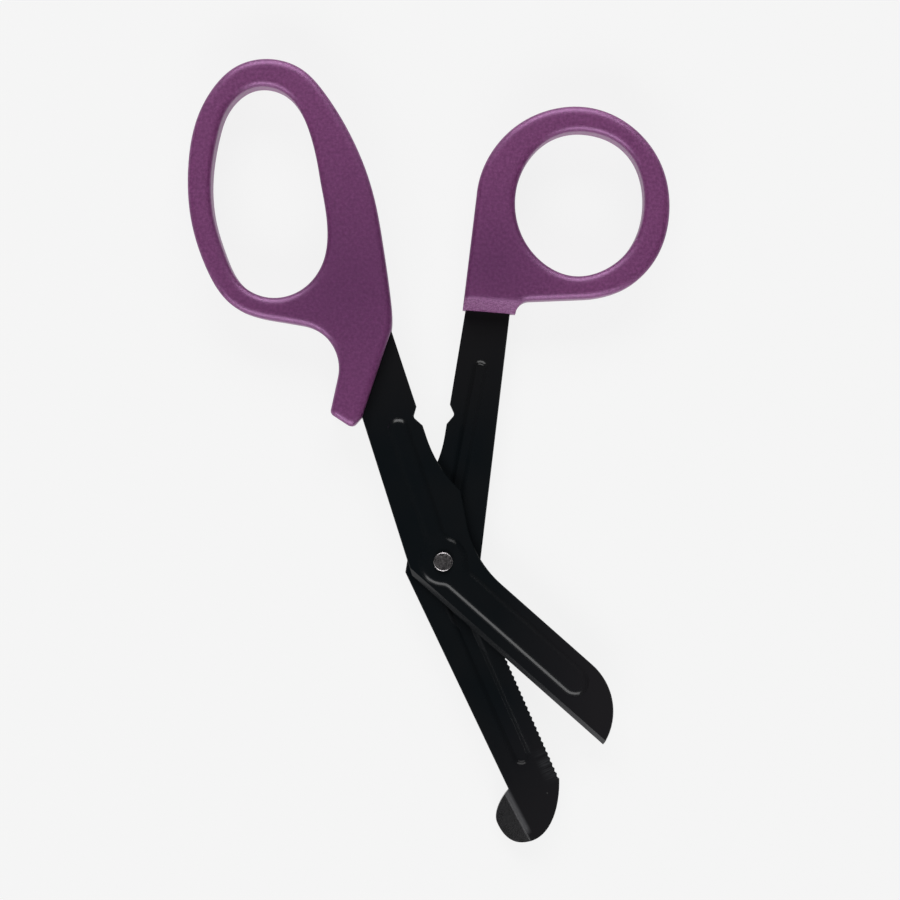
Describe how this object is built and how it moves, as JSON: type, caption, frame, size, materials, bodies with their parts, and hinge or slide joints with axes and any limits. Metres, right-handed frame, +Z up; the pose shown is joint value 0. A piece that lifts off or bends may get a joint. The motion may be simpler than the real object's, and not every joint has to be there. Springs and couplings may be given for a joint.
{
  "type": "bandage scissors",
  "caption": "Bandage shears with bent stamped steel blades, a serrated edge, a blunt turned-down foot and moulded loop handles, joined by a rivet and lying part open.",
  "frame": {"origin": "middle of the footprint, on the table that the shears lie on", "axes": "+Z up from the table, +Y towards the handles along the length, +X towards the thumb ring"},
  "size_m": [0.1078, 0.176, 0.01],
  "materials": {
    "blade_black": "black non-stick coating, satin",
    "handle_plastic": "purple moulded plastic with a fine grain",
    "rivet_steel": "bare steel, peened end"
  },
  "bodies": {
    "thumb_half": {"serrated_blade": "blade_black", "thumb_handle": "handle_plastic", "pivot_rivet": "rivet_steel"},
    "finger_half": {"plain_blade": "blade_black", "finger_handle": "handle_plastic"}
  },
  "joints": [
    {"name": "shear_pivot", "type": "hinge", "parent": "thumb_half", "child": "finger_half", "pos_m": [0.00325, -0.02458, 0.005], "axis": [0, 0, 1], "range_deg": [-15.4, 70]}
  ]
}
